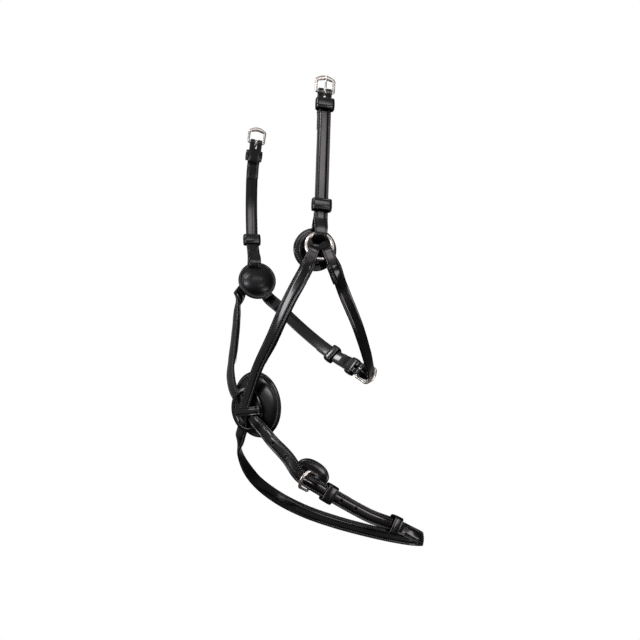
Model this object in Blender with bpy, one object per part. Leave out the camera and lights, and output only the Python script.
"""A grackle noseband: two buckled cheek straps, two rings on padded discs, and crossed nose straps.

Sizes are in millimetres and the meshes in metres. The nose points along -Y, the horse's near (left)
side is +X, and +Z is up. The origin is over the middle of the noseband at the height of the cheek
buckles, where the headpiece carries it. Every strap is one length of leather with its folds. Its line
is drawn in a plane of two measures, the distance along the strap and the height over its middle, and
that plane is then bent along the strap's route.
"""

import math

import bmesh
import bpy
from mathutils import Matrix, Vector

MM = 0.001

# Leatherwork
STRAP_WIDTH = 14.0
LOOP_WIDTH = 11.0
LEATHER = 2.4
LINING = 2.2
LINING_GAP = 0.5
KEEPER_LEATHER = 1.6
KEEPER_ROOM = 1.3
HOLE_RADIUS = 1.7
GAP = 0.3
STACK = LEATHER + GAP

# Rings
RING_SPREAD = 190.0
RING_RADIUS = 13.7
RING_WIRE = 4.6
RING_BELOW_HANG = 178.0
RING_AHEAD_OF_HANG = 3.5
RING_STAGGER = 2.0
NOSE_LEAN = {"near": (19.0, 4.2), "far": (36.0, 4.2)}
JAW_LEAN = {"near": (-26.0, -4.2), "far": (-35.0, -4.2)}
LOOP_RUN = 17.0
BENT_RUN = 10.0

# Buckles
BAR_WIRE = 2.8
SIDE_WIRE = 3.0
FRONT_WIRE = 3.6
TONGUE_WIRE = 2.2
BUCKLE_REACH = 15.0
BUCKLE_ROOM = 1.0
FASTENED_RISE = 2 * STACK + 1.3
TONGUE_SLOT = 3.6

# Cheek straps
BAR_ABOVE_RING = 171.0
BAR_SPREAD = 177.0
HANG_LEAN = 11.5
CHEEK_KEEPER_DROP = 15.5
FIXED_KEEPER_HEIGHT = 12.0
RUNNING_KEEPER_HEIGHT = 12.0
UPPER_TURN_BACK = 44.0
DISC_RADIUS = 22.0
DISC_LEATHER = 3.0
DISC_LINING = 1.2
DISC_TILT = 7.5
DISC_SHIFT = -3.0
DISC_DROP = 1.5
DISC_CLEAR = 0.8
PAD_WIDE = 16.5
PAD_HIGH = 13.5
PAD_CROWN = 6.0
SLOT_UP = 13.5

# Nose pad and crossing, in the pad's own frame: across to the near side, up, and out from the face
PAD_AT = Vector((0.0, -29.0, -154.0))
PAD_YAW = 24.0
PAD_TILT = 10.0
NOSE_PAD_RADIUS = 35.0
NOSE_PAD_RAISE = 1.5
NOSE_PAD_FLANGE = 5.5
NOSE_PAD_FLANGE_THICK = 2.6
NOSE_PAD_OUTER_CROWN = 5.8
NOSE_PAD_INNER_CROWN = 9.0
PATCH_LEATHER = 1.8
PATCH_AT = (-5.5, -3.0)
PATCH_WIDE = 20.5
PATCH_HIGH = 24.0
WINDOW_AT = (-7.8, -3.0)
WINDOW_WIDE = 13.4
WINDOW_HIGH = 19.3
CROSS_KEEPER_HEIGHT = 9.0
CROSS_KEEPER_FOR = 14.0

# Billets
HOLE_SPACING = 19.0
USED_HOLE_PULL = 5.4
CHIN_KEEPER = (20.0, 12.0)
CHIN_RUNNING_KEEPER_BACK = 112.0
CHIN_TURN_BACK = 46.0
JAW_KEEPER = (15.0, 9.0)
JAW_RUNNING_KEEPER_BACK = 47.0
JAW_TURN_BACK = 32.0
SHIELD_BACK = 16.0
SHIELD_AHEAD = 24.0
SHIELD_WIDTH = 24.0
SHIELD_RAISE = 9.0
SHIELD_LEATHER = 1.6

SIDES = 8
TURN_STEP = 4.0
UP = Vector((0.0, 0.0, 1.0))
RING_MIDDLE = Vector((0.0, -RING_AHEAD_OF_HANG, -RING_BELOW_HANG))
NEAR_RING = RING_MIDDLE + Vector((RING_SPREAD / 2, RING_STAGGER, 0.0))
FAR_RING = RING_MIDDLE - Vector((RING_SPREAD / 2, RING_STAGGER, 0.0))
BAR_LOOP = BAR_WIRE / 2 + GAP + LEATHER / 2
RING_LOOP = RING_WIRE / 2 + GAP + LEATHER / 2


def clear_scene():
    for obj in list(bpy.data.objects):
        bpy.data.objects.remove(obj, do_unlink=True)


def material(name, colour, roughness, metallic=0.0):
    made = bpy.data.materials.new(name)
    made.use_nodes = True
    shader = made.node_tree.nodes["Principled BSDF"]
    shader.inputs["Base Color"].default_value = (*colour, 1.0)
    shader.inputs["Roughness"].default_value = roughness
    shader.inputs["Metallic"].default_value = metallic
    return made


def finish_object(name, bm, surface, parent=None):
    """One named object from a bmesh in world millimetres, carried by its parent if it has one."""
    bmesh.ops.recalc_face_normals(bm, faces=bm.faces)
    bmesh.ops.scale(bm, vec=(MM, MM, MM), verts=bm.verts)
    mesh = bpy.data.meshes.new(name)
    bm.to_mesh(mesh)
    bm.free()
    mesh.materials.append(surface)
    mesh.shade_smooth()
    mesh.set_sharp_from_angle(angle=math.radians(40.0))
    obj = bpy.data.objects.new(name, mesh)
    bpy.context.scene.collection.objects.link(obj)
    if parent is not None:
        obj.parent = parent
        obj.matrix_parent_inverse = Matrix.Translation(-parent.location)
    return obj


def pivot(name, point):
    """An empty on a joint's axis, the parent of what turns or slides there."""
    empty = bpy.data.objects.new(name, None)
    empty.location = point * MM
    empty.empty_display_size = 0.01
    bpy.context.scene.collection.objects.link(empty)
    return empty


def loft_into(bm, sections, closed=False):
    """Extrudes a face through a run of outlines that have the same number of corners."""
    face = bm.faces.new([bm.verts.new(point) for point in sections[0]])
    ends = [face]
    for number, outline in enumerate(sections[1:]):
        made = bmesh.ops.extrude_face_region(bm, geom=[face])
        if number:
            bmesh.ops.delete(bm, geom=[face], context="FACES_ONLY")
        face = next(item for item in made["geom"] if isinstance(item, bmesh.types.BMFace))
        for corner, point in zip(face.verts, outline):
            corner.co = point
    ends.append(face)
    if closed:
        seam = [corner for end in ends for corner in end.verts]
        bmesh.ops.delete(bm, geom=ends, context="FACES_ONLY")
        bmesh.ops.remove_doubles(bm, verts=seam, dist=0.0001)


def loft(name, sections, surface, parent=None, closed=False):
    bm = bmesh.new()
    loft_into(bm, sections, closed)
    return finish_object(name, bm, surface, parent)


def cut(obj, name, *bodies):
    """Takes the closed bodies, each a list of outlines, out of an object."""
    bm = bmesh.new()
    for sections in bodies:
        loft_into(bm, sections)
    cutter = finish_object(name, bm, obj.data.materials[0])
    cutter.hide_render = True
    cutter.display_type = "WIRE"
    modifier = obj.modifiers.new(name, "BOOLEAN")
    modifier.operation = "DIFFERENCE"
    modifier.solver = "EXACT"
    modifier.object = cutter


def smooth(share):
    share = min(1.0, max(0.0, share))
    return share * share * (3.0 - 2.0 * share)


def mix(low, high, share):
    return low + (high - low) * share


def spread_evenly(start, end, step):
    """Numbers from start to end, both with, about a step apart."""
    count = max(1, round(abs(end - start) / step))
    return [mix(start, end, number / count) for number in range(count + 1)]


def arc(centre, radius, start, end, steps=8):
    """Points round a centre, from one angle to another in degrees."""
    angles = [math.radians(angle) for angle in spread_evenly(start, end, abs(end - start) / steps)]
    return [(centre[0] + radius * math.cos(a), centre[1] + radius * math.sin(a)) for a in angles]


class Frame:
    """A flat place: an origin with the ways along, out and across."""

    def __init__(self, origin, along, out):
        self.origin = origin
        self.along = along.normalized()
        self.out = (out - self.along * out.dot(self.along)).normalized()
        self.across = self.along.cross(self.out)

    def place(self, s, n, b=0.0):
        return self.origin + self.along * s + self.out * n + self.across * b


class Route:
    """A smooth line through stations, each a point with the way the strap's outer face looks there."""

    SPAN_STEPS = 24

    def __init__(self, stations):
        points = [Vector(point) for point, _ in stations]
        outs = [Vector(out).normalized() for _, out in stations]
        spans = [(after - before).length for before, after in zip(points, points[1:])]
        ways = [(after - before).normalized() for before, after in zip(points, points[1:])]
        heads = [ways[0]]
        for number in range(1, len(ways)):
            weight = spans[number - 1] / (spans[number - 1] + spans[number])
            heads.append(ways[number - 1].lerp(ways[number], weight))
        heads.append(ways[-1])
        self.points = []
        self.outs = []
        for number, span in enumerate(spans):
            for step in range(self.SPAN_STEPS):
                t = step / self.SPAN_STEPS
                point = points[number].lerp(points[number + 1], smooth(t))
                point += heads[number] * span * t * (1.0 - t) ** 2
                point -= heads[number + 1] * span * t**2 * (1.0 - t)
                self.points.append(point)
                self.outs.append(outs[number].lerp(outs[number + 1], smooth(t)))
        self.points.append(points[-1])
        self.outs.append(outs[-1])
        self.marks = [0.0]
        for before, after in zip(self.points, self.points[1:]):
            self.marks.append(self.marks[-1] + (after - before).length)
        self.length = self.marks[-1]
        self.grid = [0.0]
        turned = 0.0
        for number in range(1, len(self.points) - 1):
            before = self.points[number] - self.points[number - 1]
            turned += math.degrees(before.angle(self.points[number + 1] - self.points[number]))
            turned += math.degrees(self.outs[number].angle(self.outs[number - 1]))
            gone = self.marks[number] - self.grid[-1]
            if gone > 1.6 and (gone > 9.0 or turned > TURN_STEP):
                self.grid.append(self.marks[number])
                turned = 0.0

    def ahead(self, s):
        """The flat frame that touches the route at a distance along it."""
        held = min(self.length, max(0.0, s))
        number = next(i for i in range(1, len(self.marks)) if self.marks[i] >= held - 1e-9)
        share = (held - self.marks[number - 1]) / (self.marks[number] - self.marks[number - 1])
        point = self.points[number - 1].lerp(self.points[number], share)
        before = self.points[max(0, number - 3)]
        after = self.points[min(len(self.points) - 1, number + 2)]
        along = (after - before).normalized()
        out = self.outs[number - 1].lerp(self.outs[number], share)
        return Frame(point + along * (s - held), along, out)

    def place(self, s, n, b=0.0):
        return self.ahead(s).place(0.0, n, b)

    def steps(self, start, end):
        """Distances from start to end, close together where the route turns."""
        marks = [start]
        for s in self.grid:
            if start + 0.8 < s < end - 0.8:
                marks.append(s)
        return [*marks, end]

    def nearest(self, point):
        number = min(range(len(self.points)), key=lambda i: (self.points[i] - point).length)
        return self.marks[number]


def ribbon_sections(where, line, thickness, width, aside=0.0):
    """Outlines of a flat strap whose middle follows a line of (along, height) points."""
    sections = []
    for number, (s, n) in enumerate(line):
        before = Vector(line[max(0, number - 1)])
        after = Vector(line[min(len(line) - 1, number + 1)])
        here = Vector((s, n))
        first = (here - before).normalized() if number else (after - here).normalized()
        last = (after - here).normalized() if number < len(line) - 1 else first
        way = (first + last).normalized()
        side = Vector((-way.y, way.x)) * thickness / 2 / max(0.5, way.dot(first))
        half = width(s) / 2
        corners = [(side, -half), (side, half), (-side, half), (-side, -half)]
        sections.append([where.place(s + off.x, n + off.y, aside + b) for off, b in corners])
    return sections


def ribbon(name, where, line, surface, parent=None, thickness=LEATHER, width=None):
    return loft(name, ribbon_sections(where, line, thickness, width or full_width), surface, parent)


def full_width(s):
    return STRAP_WIDTH


def ring_taper(s):
    """A strap's width near the ring that it turns round."""
    return mix(LOOP_WIDTH, STRAP_WIDTH, smooth((s - 6.0) / 14.0))


def pointed(length, width_before):
    """A width that ends in a round tip at a length."""
    radius = STRAP_WIDTH / 2

    def width(s):
        inside = min(radius, max(0.25, length - s))
        return min(width_before(s), 2 * math.sqrt(radius**2 - (radius - inside) ** 2))

    return width


def pointed_run(route, start):
    """A run to a round tip at the route's end, with points closing up as the tip turns."""
    radius = STRAP_WIDTH / 2
    tips = [radius * (1 - math.cos(math.radians(angle))) for angle in (75, 60, 45, 30, 18, 0)]
    run = route.steps(start, route.length - radius)
    return [(s, 0.0) for s in run + [route.length - inside for inside in tips]]


def ring_fold(turn_back, pocket):
    """The strap's end round a ring: under layer, fold, and the start of the main layer at (0, 0)."""

    def under(s):
        return -mix(2 * RING_LOOP, STACK, smooth((s - pocket - 0.5) / 10.0))

    line = [(s, under(s)) for s in spread_evenly(turn_back, 1.0, 2.6)]
    return line + arc((0.0, -RING_LOOP), RING_LOOP, 270.0, 90.0)


def bar_fold(length, turn_back, keeper_back, keeper_long):
    """The strap's end round a buckle's bar, then the under layer, which dips where it holds a keeper."""

    def under(s):
        away = max(0.0, abs(length - keeper_back - s) - keeper_long / 2 - GAP)
        held = STACK + (KEEPER_LEATHER + GAP + 0.2) * (1.0 - smooth(away / 6.0))
        return -max(held, mix(2 * BAR_LOOP, STACK, smooth((length - s) / 8.0)))

    line = arc((length, -BAR_LOOP), BAR_LOOP, 90.0, -90.0)
    return line + [(s, under(s)) for s in spread_evenly(length - 1.0, length - turn_back, 2.2)]


def tube_sections(points, radii, flat, closed=False):
    """Outlines of a round wire through points; flat is a way that the wire never runs along."""
    sections = []
    count = len(points)
    for number, (point, radius) in enumerate(zip(points, radii)):
        if closed:
            way = points[(number + 1) % count] - points[number - 1]
        else:
            way = points[min(count - 1, number + 1)] - points[max(0, number - 1)]
        way = way.normalized()
        first = (flat - way * flat.dot(way)).normalized()
        second = way.cross(first)
        angles = [2 * math.pi * corner / SIDES for corner in range(SIDES)]
        ring = [point + (first * math.cos(a) + second * math.sin(a)) * radius for a in angles]
        sections.append(ring)
    if closed:
        sections.append(sections[0])
    return sections


def keeper(name, where, at, long, low, high, wide, surface, parent=None, leather=KEEPER_LEATHER):
    """A leather band round a strap: low and high are the room inside it, over the strap's middle."""
    frame = where.ahead(at)
    half = long / 2
    corner = 1.2
    room = wide / 2
    turns = [(room, high, 0), (-room, high, 90), (-room, low, 180), (room, low, 270)]
    inner = []
    outer = []
    for side, level, start in turns:
        centre = (side - math.copysign(corner, side), level - (corner if level == high else -corner))
        inner += arc(centre, corner, start, start + 90, 3)
        outer += arc(centre, corner + leather, start, start + 90, 3)
    sections = []
    for (b0, n0), (b1, n1) in zip(inner, outer):
        corners = [(-half, n0, b0), (half, n0, b0), (half, n1, b1), (-half, n1, b1)]
        sections.append([frame.place(*corner) for corner in corners])
    sections.append(sections[0])
    return loft(name, sections, surface, parent, closed=True)


def buckle_frame(name, base, rise, surface, parent):
    """A frame of wire: its thin bar lies in the fold at the base's origin, its front bar ahead of it."""
    half = STRAP_WIDTH / 2 + BUCKLE_ROOM + SIDE_WIRE / 2
    corner = 3.4
    bow = 1.6
    slope = math.atan2(rise, BUCKLE_REACH)
    path = []
    radii = []

    def add(along, across, wire):
        path.append(base.place(along * math.cos(slope), along * math.sin(slope), across))
        radii.append(wire / 2)

    for across in spread_evenly(-half + 1.6, half - 1.6, 4.0):
        add(0.0, across, BAR_WIRE)
    add(0.5, half - 0.5, BAR_WIRE)
    add(1.8, half, SIDE_WIRE)
    for along in spread_evenly(5.0, BUCKLE_REACH - corner, 4.0):
        add(along, half, SIDE_WIRE)
    for angle in (25.0, 50.0, 75.0):
        turn = math.radians(angle)
        along = BUCKLE_REACH - corner + corner * math.sin(turn)
        add(along, half - corner + corner * math.cos(turn), mix(SIDE_WIRE, FRONT_WIRE, angle / 90.0))
    for across in spread_evenly(half - corner, corner - half, 3.5):
        lift = bow * (1.0 - (across / (half - corner)) ** 2)
        add(BUCKLE_REACH + lift, across, FRONT_WIRE)
    for angle in (75.0, 50.0, 25.0):
        turn = math.radians(angle)
        along = BUCKLE_REACH - corner + corner * math.sin(turn)
        add(along, corner - half - corner * math.cos(turn), mix(SIDE_WIRE, FRONT_WIRE, angle / 90.0))
    for along in spread_evenly(BUCKLE_REACH - corner, 5.0, 4.0):
        add(along, -half, SIDE_WIRE)
    add(1.8, -half, SIDE_WIRE)
    add(0.5, -half + 0.5, BAR_WIRE)
    flat = base.out * math.cos(slope) - base.along * math.sin(slope)
    return loft(name, tube_sections(path, radii, flat, closed=True), surface, parent, closed=True)


def tongue(name, base, rise, surface, parent, swing=0.0, hump=0.0):
    """A bent wire: it hooks round the bar and lies on the front bar, or swings back out by an angle."""
    radius = TONGUE_WIRE / 2
    eye = BAR_WIRE / 2 + GAP + radius
    slope = math.atan2(rise, BUCKLE_REACH)
    rest = FRONT_WIRE / 2 + GAP + radius
    tip = BUCKLE_REACH + 2.6
    line = arc((0.0, 0.0), eye, -60.0, -255.0, 9)
    line += [(2.2, eye + 0.4 + hump * 0.3), (5.2, mix(eye, rest, 0.5) + hump)]
    line += [(9.0, rest + hump * 0.4), (13.0, rest), (tip, rest)]
    turn = slope + math.radians(swing)
    path = []
    for s, n in line:
        along = s * math.cos(turn) - n * math.sin(turn)
        out = s * math.sin(turn) + n * math.cos(turn)
        path.append(base.place(along, out, 0.0))
    radii = [radius] * (len(path) - 1) + [radius * 0.7]
    return loft(name, tube_sections(path, radii, base.across), surface, parent)


def ring(name, frame, surface):
    """A round ring of wire in the plane of the frame's along and across ways."""
    turns = [2 * math.pi * step / 32 for step in range(32)]
    path = [frame.place(RING_RADIUS * math.cos(a), 0.0, RING_RADIUS * math.sin(a)) for a in turns]
    radii = [RING_WIRE / 2] * len(path)
    return loft(name, tube_sections(path, radii, frame.out, closed=True), surface, closed=True)


def post(frame, s, b, radius, low, high, stretch=0.0):
    """A closed round or oblong post through a strap, as outlines for a cutter."""
    outline = []
    for corner in range(12):
        angle = 2 * math.pi * (corner + 0.5) / 12
        shift = math.copysign(stretch / 2, math.cos(angle))
        outline.append((s + shift + radius * math.cos(angle), b + radius * math.sin(angle)))
    return [[frame.place(along, height, across) for along, across in outline] for height in (low, high)]


def slab(frame, s, n, b, size):
    """A box as outlines for a cutter: its middle, and its sizes along, out and across."""
    long, thick, wide = (value / 2 for value in size)
    corners = [(-long, -thick), (long, -thick), (long, thick), (-long, thick)]
    return [[frame.place(s + i, n + j, b + k) for i, j in corners] for k in (-wide, wide)]


CHEEKS = {
    "near": {
        "ring": NEAR_RING,
        "bar": RING_MIDDLE + Vector((BAR_SPREAD / 2 - HANG_LEAN, 15.4, BAR_ABOVE_RING)),
        "out": Vector((0.985, -0.17, 0.0)),
        "bow": [],
        "turn_back": 36.0,
        "keeper": 43.5,
        "tongue": 4.0,
    },
    "far": {
        "ring": FAR_RING,
        "bar": RING_MIDDLE + Vector((-BAR_SPREAD / 2 - HANG_LEAN, 1.1, BAR_ABOVE_RING)),
        "out": Vector((-0.985, 0.155, 0.0)),
        "bow": [(0.0, 0.0, 0.17), (6.0, 0.3, 0.28), (9.5, 0.5, 0.41), (12.0, 0.7, 0.61), (9.5, 1.0, 0.83)],
        "turn_back": 42.0,
        "keeper": 53.0,
        "tongue": 104.0,
    },
}


def cheek_route(side):
    """From the ring's middle to the buckle's bar; the far strap hangs in a bow, out from the cheek."""
    facts = CHEEKS[side]
    stations = [(facts["ring"], facts["out"])]
    for outward, back, share in facts["bow"]:
        stations.append((facts["ring"] + Vector((-outward, back, share * BAR_ABOVE_RING)), facts["out"]))
    return Route([*stations, (facts["bar"], facts["out"])])


def cheek_frame(side):
    return cheek_route(side).ahead(0.0)


def disc_frame(frame):
    """The tilted plane of a cheek disc's outer face, its origin at the disc's middle."""
    tilt = math.radians(DISC_TILT)
    seat = RING_RADIUS + RING_WIRE / 2
    height = -RING_WIRE / 2 - DISC_CLEAR - (seat + DISC_DROP) * math.tan(tilt)
    along = frame.along * math.cos(tilt) + frame.out * math.sin(tilt)
    return Frame(frame.place(-DISC_DROP, height), along, frame.out)


def disc_rings(frame, rings):
    """Round outlines of 40 corners: each ring is (height, radius along, radius across, shift along)."""
    sections = []
    for height, along, across, shift in rings:
        angles = [2 * math.pi * corner / 40 for corner in range(40)]
        sections.append(
            [
                frame.place(shift + along * math.cos(a), height, DISC_SHIFT + across * math.sin(a))
                for a in angles
            ]
        )
    return sections


def cheek_disc(side, frame, leather, lining, parent):
    """The firm leather disc behind a ring, and its padded lining with a dome towards the face."""
    plane = disc_frame(frame)
    edge = DISC_RADIUS
    back = -DISC_LEATHER
    outline = [(0.0, edge - 0.7, 0), (-0.7, edge, 0), (back + 0.7, edge, 0), (back, edge - 0.7, 0)]
    rings = [(height, radius, radius, shift) for height, radius, shift in outline]
    disc = loft(f"{side}_cheek_disc", disc_rings(plane, rings), leather, parent)

    top = back - GAP
    low = top - DISC_LINING
    rings = [(top, edge - 0.3, edge - 0.3, 0.0), (top - 0.4, edge, edge, 0.0)]
    rings += [(low + 0.3, edge, edge, 0.0), (low, edge - 0.6, edge - 0.6, 0.0)]
    for share in (0.0, 0.18, 0.4, 0.62, 0.8, 0.92, 0.99):
        rise = math.sqrt(1.0 - (1.0 - share) ** 2) if share else 0.0
        along = PAD_HIGH * (1.0 - share)
        across = PAD_WIDE * (1.0 - share)
        rings.append((low - 0.02 - PAD_CROWN * rise, along, across, -2.5))
    pad = loft(f"{side}_cheek_pad", disc_rings(plane, rings), lining, parent)

    slant = math.radians(45.0)
    way = plane.along * math.cos(slant) - plane.out * math.sin(slant)
    slot = Frame(plane.place(SLOT_UP, -2.2), way, plane.out)
    size = (16.0, LEATHER + 1.4, STRAP_WIDTH + 0.4)
    for number, body in enumerate((disc, pad)):
        cut(body, f"{side}_slot_cutter_{number}", slab(slot, 0.0, 0.0, 0.0, size))


def cheek_strap_line(frame, turn_back, length):
    """From the end of the lower turn-back, through the disc and round the ring, up round the bar."""
    plane = disc_frame(frame)
    half = STACK / 2

    def local(along, height):
        step = plane.place(along, height) - frame.origin
        return step.dot(frame.along), step.dot(frame.out)

    seat = -DISC_LEATHER - GAP - DISC_LINING - GAP - LEATHER / 2
    line = [(s, -half) for s in spread_evenly(turn_back, 34.0, 4.0)]
    start = local(DISC_RADIUS + 1.5, seat)
    for share in (0.2, 0.4, 0.6, 0.8, 1.0):
        line.append((mix(34.0, start[0], share), mix(-half, start[1], smooth(share))))
    line += [local(20.5, seat), local(18.4, seat), local(16.6, seat + 0.9)]
    line += [local(14.4, -3.1), local(12.6, -1.3)]
    line += arc((12.5, 0.0), RING_LOOP + 0.15, 222.0, 90.0, 12)
    line += [(14.2, RING_LOOP + 0.1), (16.5, RING_LOOP)]
    for share in (0.2, 0.4, 0.6, 0.8, 1.0):
        line.append((mix(16.5, 31.0, share), mix(RING_LOOP, half, smooth(share))))
    line += [(s, half) for s in spread_evenly(36.0, length - 9.0, 6.0)]
    for share in (0.3, 0.6):
        line.append((length - 9.0 * (1.0 - share), mix(half, BAR_LOOP, smooth(share))))
    line += arc((length, 0.0), BAR_LOOP, 90.0, -90.0)
    keeper_at = length - CHEEK_KEEPER_DROP
    deep = -(half + KEEPER_LEATHER + GAP)
    line += [(length - 3.0, mix(-BAR_LOOP, deep, 0.5))]
    line += [(keeper_at + 6.5, deep), (keeper_at, deep), (keeper_at - 6.5, deep)]
    for share in (0.33, 0.66, 1.0):
        line.append((keeper_at - 6.5 - 6.0 * share, mix(deep, -half, smooth(share))))
    line += [(s, -half) for s in spread_evenly(keeper_at - 16.0, length - UPPER_TURN_BACK, 5.0)]
    return line


def cheek(side, looks):
    """Everything that swings about one ring: strap, buckle, keepers, disc and pad."""
    facts = CHEEKS[side]
    route = cheek_route(side)
    frame = cheek_frame(side)
    swing = pivot(f"{side}_cheek_swing", facts["ring"])
    name = f"{side}_cheek"
    line = cheek_strap_line(frame, facts["turn_back"], route.length)
    strap = ribbon(f"{name}_strap", route, line, looks["leather"], swing, width=ring_taper)
    base = route.ahead(route.length)
    opening = slab(base, -0.5, 0.0, 0.0, (15.0, 14.0, TONGUE_SLOT))
    cut(strap, f"{name}_tongue_slot_cutter", opening)
    cheek_disc(side, frame, looks["leather"], looks["pad"], swing)

    tilt = pivot(f"{name}_buckle_tilt", base.origin)
    tilt.parent = swing
    tilt.matrix_parent_inverse = Matrix.Translation(-swing.location)
    buckle_frame(f"{name}_buckle", base, 0.8, looks["metal"], tilt)
    tongue(f"{name}_tongue", base, 0.8, looks["metal"], tilt, swing=facts["tongue"])

    low = STACK / 2 - LEATHER / 2 - GAP
    room = LEATHER * 2 + GAP * 3
    wide = STRAP_WIDTH + 2 * KEEPER_ROOM
    at = route.length - CHEEK_KEEPER_DROP
    band = (FIXED_KEEPER_HEIGHT, low, low + room, wide)
    keeper(f"{name}_fixed_keeper", route, at, *band, looks["leather"], swing)
    slide = pivot(f"{name}_keeper_slide", route.place(facts["keeper"], 0.0))
    slide.parent = swing
    slide.matrix_parent_inverse = Matrix.Translation(-swing.location)
    band = (RUNNING_KEEPER_HEIGHT, low - 0.3, low + room, wide + 0.6)
    keeper(f"{name}_running_keeper", route, facts["keeper"], *band, looks["leather"], slide)


def pad_frame():
    yaw = math.radians(PAD_YAW)
    tilt = math.radians(PAD_TILT)
    front = Vector((math.sin(yaw), -math.cos(yaw), 0.0))
    up = UP * math.cos(tilt) + front * math.sin(tilt)
    return Frame(RING_MIDDLE + PAD_AT, up, front * math.cos(tilt) - UP * math.sin(tilt))


def at_pad(across, up, out):
    """A point of the pad's own frame: across to the near side, up, and out from the face."""
    return pad_frame().place(up, out, across)


def nose_pad(surface):
    """The round nose pad: a stitched flange with a crown on each side."""
    inner = NOSE_PAD_RADIUS - NOSE_PAD_FLANGE
    half = NOSE_PAD_FLANGE_THICK / 2
    rings = []
    for share in (0.12, 0.4, 0.65, 0.85):
        rings.append((-half - NOSE_PAD_INNER_CROWN * math.sqrt(1 - share * share), inner * share))
    rings += [(-half - NOSE_PAD_INNER_CROWN * 0.22, inner * 0.97), (-half, inner + 0.6)]
    rings += [(-half, NOSE_PAD_RADIUS - 0.7), (-half + 0.7, NOSE_PAD_RADIUS)]
    rings += [(half - 0.7, NOSE_PAD_RADIUS), (half, NOSE_PAD_RADIUS - 0.7), (half, inner + 0.6)]
    for share in (0.97, 0.85, 0.65, 0.4, 0.12):
        rings.append((half + NOSE_PAD_OUTER_CROWN * math.sqrt(1 - share * share), inner * share))
    sections = []
    for out, radius in rings:
        angles = [2 * math.pi * corner / 48 for corner in range(48)]
        ring_points = [(radius * math.sin(a), radius * math.cos(a) + NOSE_PAD_RAISE) for a in angles]
        sections.append([at_pad(flat, up, out) for flat, up in ring_points])
    return loft("nose_pad", sections, surface)


def patch_height(across, up):
    """How far the patch's middle stands out: low on the near side, raised over the straps on the far."""
    return 8.4 + 4.6 * smooth((3.0 - across) / 24.0) - 0.004 * up**2


def crossing_patch(surface):
    """A round patch with a window: the straps go over its near rim and under its far rim."""
    sections = []
    half = PATCH_LEATHER / 2
    for corner in range(40):
        angle = 2 * math.pi * corner / 40
        ring_points = []
        for centre, wide, high, level in (
            (PATCH_AT, PATCH_WIDE, PATCH_HIGH, half),
            (PATCH_AT, PATCH_WIDE, PATCH_HIGH, -half),
            (WINDOW_AT, WINDOW_WIDE, WINDOW_HIGH, -half),
            (WINDOW_AT, WINDOW_WIDE, WINDOW_HIGH, half),
        ):
            across = centre[0] + wide * math.sin(angle)
            up = centre[1] + high * math.cos(angle)
            ring_points.append(at_pad(across, up, patch_height(across, up) + level))
        sections.append(ring_points)
    sections.append(sections[0])
    return loft("crossing_patch", sections, surface, closed=True)


def crossing_keeper(surface):
    """The bar that holds both straps down: it bends down beside them on the far side."""
    line = [(-19.3, 7.4), (-19.4, 10.5), (-19.2, 13.6), (-17.4, 15.8), (-13.8, 16.4), (-4.0, 16.4)]
    line += [(2.0, 16.2), (6.6, 15.3), (10.0, 13.7), (12.0, 11.9), (13.4, 11.15), (15.2, 10.95)]
    fit = STRAP_WIDTH / CROSS_KEEPER_FOR
    line = [(across * fit, out) for across, out in line]
    middle = -4.0
    sections = []
    for number, point in enumerate(line):
        before = Vector(line[max(0, number - 1)])
        after = Vector(line[min(len(line) - 1, number + 1)])
        way = (after - before).normalized()
        side = Vector((-way.y, way.x)) * KEEPER_LEATHER / 2
        here = Vector(point)
        low = middle - CROSS_KEEPER_HEIGHT / 2
        high = middle + CROSS_KEEPER_HEIGHT / 2
        corners = [(here + side, low), (here + side, high), (here - side, high), (here - side, low)]
        sections.append([at_pad(flat.x, up, flat.y) for flat, up in corners])
    return loft("crossing_keeper", sections, surface)


def loop_start(side, lean, offset):
    """Where the axis of a nose or jaw strap's fold passes inside a ring's wire.

    lean is the strap's angle from straight down and offset is how far the strap's middle passes
    beside the ring's middle, both towards the nose.
    """
    frame = cheek_frame(side)
    front = -frame.across if side == "near" else frame.across
    turn = math.radians(lean)
    along = -frame.along * math.cos(turn) + front * math.sin(turn)
    aside = frame.along * math.sin(turn) + front * math.cos(turn)
    widest = abs(offset) + LOOP_WIDTH / 2
    centre = math.sqrt(RING_RADIUS**2 - widest**2)
    reach = centre - RING_WIRE / 2 * (RING_RADIUS / centre - 1.0) - 0.7
    pocket = RING_RADIUS + RING_WIRE / 2 + GAP - reach
    return frame.origin + along * reach + aside * offset, along, pocket


def looped_route(side, lean, stations, run=LOOP_RUN):
    """A route that starts over a ring's wire, straight for its first run, and the fold's pocket."""
    out = cheek_frame(side).out
    start, along, pocket = loop_start(side, *lean[side])
    first = [(start + along * ahead + out * RING_LOOP, out) for ahead in (0.0, run)]
    return Route(first + stations), pocket


def near_ahead(x, y, z):
    return RING_MIDDLE + Vector((x, y, z))


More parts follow.
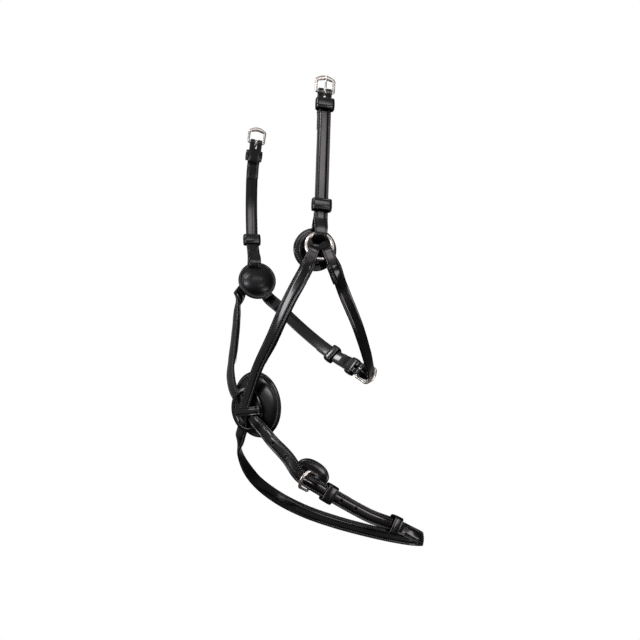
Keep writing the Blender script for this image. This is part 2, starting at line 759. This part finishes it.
def buckle_strap_route():
    """From the near ring over the nose, down the far side, round the chin and back to its buckle."""
    pad_out = pad_frame().out
    stations = [
        (near_ahead(83, -26, -54), (0.62, -0.78, -0.1)),
        (near_ahead(60, -37, -93), (0.52, -0.85, -0.05)),
        (near_ahead(33, -40.5, -117), (0.42, -0.9, -0.1)),
        (at_pad(6.8, 19.9, 13.4), pad_out),
        (at_pad(-1.0, 8.0, 13.5), pad_out),
        (at_pad(-6.0, -1.4, 13.6), pad_out),
        (at_pad(-9.6, -8.8, 13.6), pad_out),
        (at_pad(-13.9, -13.7, 9.2), pad_out),
        (at_pad(-18.8, -19.0, 5.8), pad_out),
        (at_pad(-26.5, -31.0, 5.0), pad_out),
        (near_ahead(-38, -36, -199), (-0.6, -0.8, -0.1)),
        (near_ahead(-46, -16, -229), (-0.93, -0.35, -0.1)),
        (near_ahead(-46, 7, -247), (-1.0, -0.15, 0.0)),
        (near_ahead(-43, 40, -264), (-1.0, 0.1, 0.0)),
        (near_ahead(-38, 74, -276), (-1.0, 0.1, 0.0)),
        (near_ahead(-31, 106, -285), (-1.0, 0.15, 0.0)),
        (near_ahead(-19, 146, -294), (-0.97, 0.25, 0.0)),
        (near_ahead(-12, 158, -296), (-0.7, 0.7, -0.1)),
        (near_ahead(0, 165, -296), (0.0, 1.0, -0.1)),
        (near_ahead(11, 157, -293), (0.75, 0.65, -0.1)),
        (near_ahead(15, 142, -287), (0.97, 0.25, -0.15)),
        (near_ahead(23, 119, -278.4), (0.95, 0.2, -0.28)),
        (near_ahead(35, 84, -267.8), (0.94, 0.1, -0.32)),
        (near_ahead(39.5, 52, -253), (0.95, 0.0, -0.3)),
        (near_ahead(41.5, 32, -243), (0.98, -0.1, -0.2)),
        (near_ahead(43, 17, -235), (0.96, -0.2, -0.2)),
    ]
    return looped_route("near", NOSE_LEAN, stations)


def billet_over(route, back, lift=STACK):
    """A point over the outer face of another strap, that far back from its end."""
    frame = route.ahead(route.length - back)
    return frame.place(0.0, lift), frame.out


def billet_strap_route(under):
    """From the far ring over the nose, then down the near side over the other strap's end."""
    pad_out = pad_frame().out
    stations = [
        (near_ahead(-92.5, -23.5, -33), (0.0, -1.0, 0.0)),
        (near_ahead(-88, -25.5, -46), (0.12, -0.99, 0.0)),
        (near_ahead(-78, -30, -66), (0.22, -0.97, 0.0)),
        (near_ahead(-58, -39.1, -95), (0.32, -0.95, 0.0)),
        (near_ahead(-37, -47, -119.7), (0.38, -0.92, 0.0)),
        (at_pad(-22.0, 13.5, 7.7), pad_out),
        (at_pad(-15.0, 7.3, 8.3), pad_out),
        (at_pad(-8.0, 1.0, 9.2), pad_out),
        (at_pad(0.0, -8.3, 10.5), pad_out),
        (at_pad(5.9, -15.2, 11.2), pad_out),
        (at_pad(15.0, -26.0, 9.0), (0.55, -0.83, -0.1)),
        (near_ahead(25, -22, -191), (0.65, -0.74, -0.15)),
        (near_ahead(36, -9, -208), (0.83, -0.48, -0.2)),
        billet_over(under, -BUCKLE_REACH, -LEATHER / 2),
    ]
    for back in (0, 12, 28, 44, 60, 76, 92, 108, 120, 132):
        stations.append(billet_over(under, back))
    return looped_route("far", NOSE_LEAN, stations, BENT_RUN)


def jaw_buckle_route():
    stations = [
        (near_ahead(-87, 27, -31), (-0.97, 0.2, -0.1)),
        (near_ahead(-70, 49, -57.5), (-0.93, 0.32, -0.18)),
        (near_ahead(-44, 71, -84.8), (-0.8, 0.5, -0.33)),
        (near_ahead(-17, 87.5, -104), (-0.5, 0.75, -0.43)),
        (near_ahead(-3, 94, -111.5), (-0.35, 0.8, -0.5)),
    ]
    return looped_route("far", JAW_LEAN, stations)


def jaw_billet_route(under):
    stations = [
        (near_ahead(86, 32, -42), (0.95, 0.2, -0.2)),
        (near_ahead(67, 56.4, -73), (0.92, 0.33, -0.22)),
        (near_ahead(44, 77.6, -99), (0.82, 0.5, -0.3)),
        (near_ahead(25, 91.5, -114), (0.45, 0.8, -0.38)),
        billet_over(under, -BUCKLE_REACH, -LEATHER / 2),
    ]
    for back in (0, 10, 22, 35, 48, 60, 72):
        stations.append(billet_over(under, back))
    return looped_route("near", JAW_LEAN, stations)


def strap_buckle(name, route, keeper_back, keeper_long, running_back, looks, parent):
    """The buckle, tongue and keepers at the end of a strap that holds a billet."""
    frame = route.ahead(route.length)
    base = Frame(frame.place(0.0, -BAR_LOOP), frame.along, frame.out)
    tilt = pivot(f"{name}_buckle_tilt", base.origin)
    buckle_frame(f"{name}_buckle", base, FASTENED_RISE, looks["metal"], tilt)
    tongue(f"{name}_tongue", base, FASTENED_RISE, looks["metal"], tilt, hump=1.0)
    low = -LEATHER / 2 - GAP - 0.1
    high = LEATHER / 2 + STACK + GAP * 2
    at = route.length - keeper_back
    band = (keeper_long, low, high, STRAP_WIDTH + 2 * KEEPER_ROOM)
    keeper(f"{name}_fixed_keeper", route, at, *band, looks["leather"], parent)
    at = route.length - running_back
    slide = pivot(f"{name}_keeper_slide", route.place(at, 0.0))
    band = (keeper_long, low - 0.3, high + 0.3, STRAP_WIDTH + 2 * KEEPER_ROOM + 0.6)
    keeper(f"{name}_running_keeper", route, at, *band, looks["leather"], slide)
    if parent is not None:
        for empty in (tilt, slide):
            empty.parent = parent
            empty.matrix_parent_inverse = Matrix.Translation(-parent.location)


def holes(strap, name, route, first, count, low=-4.0, high=4.0):
    """Round holes at the holes' spacing, back from the one that the tongue uses."""
    bodies = []
    for number in range(count):
        used = number == count // 2
        frame = route.ahead(first + (number - count // 2) * HOLE_SPACING)
        bodies.append(post(frame, 0.0, 0.0, HOLE_RADIUS, low, high, USED_HOLE_PULL if used else 0.0))
    cut(strap, f"{name}_hole_cutter", *bodies)


def nose_straps(looks):
    """The two long straps that cross on the nose, their linings, buckle, keepers and shield."""
    route, pocket = buckle_strap_route()
    turn_back = 30.0
    line = ring_fold(turn_back, pocket)
    line += [(s, 0.0) for s in route.steps(4.0, route.length - 2.0)]
    line += bar_fold(route.length, CHIN_TURN_BACK, *CHIN_KEEPER)
    strap = ribbon("nose_buckle_strap", route, line, looks["leather"], width=ring_taper)
    end = route.ahead(route.length)
    cut(strap, "chin_tongue_slot_cutter", slab(end, -1.0, -BAR_LOOP, 0.0, (14.0, 14.0, TONGUE_SLOT)))

    lined = route.steps(turn_back + 1.0, 128.0)
    depth = -LEATHER / 2 - LINING_GAP - LINING / 2
    ribbon("near_nose_lining", route, [(s, depth) for s in lined], looks["lining"], thickness=LINING)
    chin_start = route.nearest(near_ahead(-36, 72, -270))
    chin_end = route.nearest(near_ahead(13, 150, -290))
    lined = route.steps(chin_start, chin_end)
    ribbon("chin_lining", route, [(s, depth) for s in lined], looks["lining"], thickness=LINING)

    other, pocket = billet_strap_route(route)
    line = ring_fold(turn_back, pocket)
    line += pointed_run(other, 4.0)
    width = pointed(other.length, ring_taper)
    billet = ribbon("nose_billet_strap", other, line, looks["leather"], width=width)
    used = other.nearest(billet_over(route, -3.0, 1.6)[0])
    holes(billet, "chin", other, used, 7)
    lined = other.steps(turn_back + 1.0, 126.0)
    ribbon("far_nose_lining", other, [(s, depth) for s in lined], looks["lining"], thickness=LINING)
    strap_buckle("chin", route, *CHIN_KEEPER, CHIN_RUNNING_KEEPER_BACK, looks, None)
    chin_shield(route, looks["leather"])


def chin_shield(route, surface):
    """The oval flap that lies between the chin buckle and the skin, sewn in under the fixed keeper."""
    end = route.length
    fold = -2 * BAR_LOOP - LEATHER / 2 - GAP - SHIELD_LEATHER / 2
    flat = -STACK - KEEPER_LEATHER - GAP - 0.2 - LEATHER / 2 - GAP - SHIELD_LEATHER / 2
    start = end - SHIELD_BACK
    long = SHIELD_BACK + SHIELD_AHEAD

    def depth(s):
        return mix(flat, fold, smooth((s - end + 14.0) / 8.0))

    def width(s):
        share = 2 * (s - start) / long - 1.0
        return SHIELD_WIDTH * math.sqrt(max(0.02, 1.0 - abs(share) ** 2.4))

    line = [(s, depth(s)) for s in spread_evenly(start, end + SHIELD_AHEAD, 2.5)]
    sections = ribbon_sections(route, line, SHIELD_LEATHER, width, SHIELD_RAISE)
    loft("chin_shield", sections, surface)


def jaw_straps(looks):
    """The two jaw straps, buckled together behind the jaw."""
    swing = pivot("jaw_swing", RING_MIDDLE)
    route, pocket = jaw_buckle_route()
    turn_back = 36.0
    line = ring_fold(turn_back, pocket)
    line += [(s, 0.0) for s in route.steps(4.0, route.length - 2.0)]
    line += bar_fold(route.length, JAW_TURN_BACK, *JAW_KEEPER)
    strap = ribbon("jaw_buckle_strap", route, line, looks["leather"], swing, width=ring_taper)
    end = route.ahead(route.length)
    cut(strap, "jaw_tongue_slot_cutter", slab(end, -1.0, -BAR_LOOP, 0.0, (14.0, 14.0, TONGUE_SLOT)))

    other, pocket = jaw_billet_route(route)
    line = ring_fold(turn_back, pocket)
    line += pointed_run(other, 4.0)
    width = pointed(other.length, ring_taper)
    billet = ribbon("jaw_billet_strap", other, line, looks["leather"], swing, width=width)
    used = other.nearest(billet_over(route, -3.0, 1.6)[0])
    holes(billet, "jaw", other, used, 3)
    strap_buckle("jaw", route, *JAW_KEEPER, JAW_RUNNING_KEEPER_BACK, looks, swing)


def main():
    clear_scene()
    looks = {
        "leather": material("black_leather", (0.018, 0.017, 0.018), 0.38),
        "lining": material("black_lining", (0.02, 0.019, 0.019), 0.6),
        "pad": material("padded_leather", (0.022, 0.021, 0.022), 0.42),
        "metal": material("polished_nickel", (0.78, 0.76, 0.72), 0.16, 1.0),
    }
    for side in CHEEKS:
        cheek(side, looks)
        ring(f"{side}_ring", cheek_frame(side), looks["metal"])
    nose_pad(looks["pad"])
    crossing_patch(looks["leather"])
    crossing_keeper(looks["leather"])
    nose_straps(looks)
    jaw_straps(looks)


main()
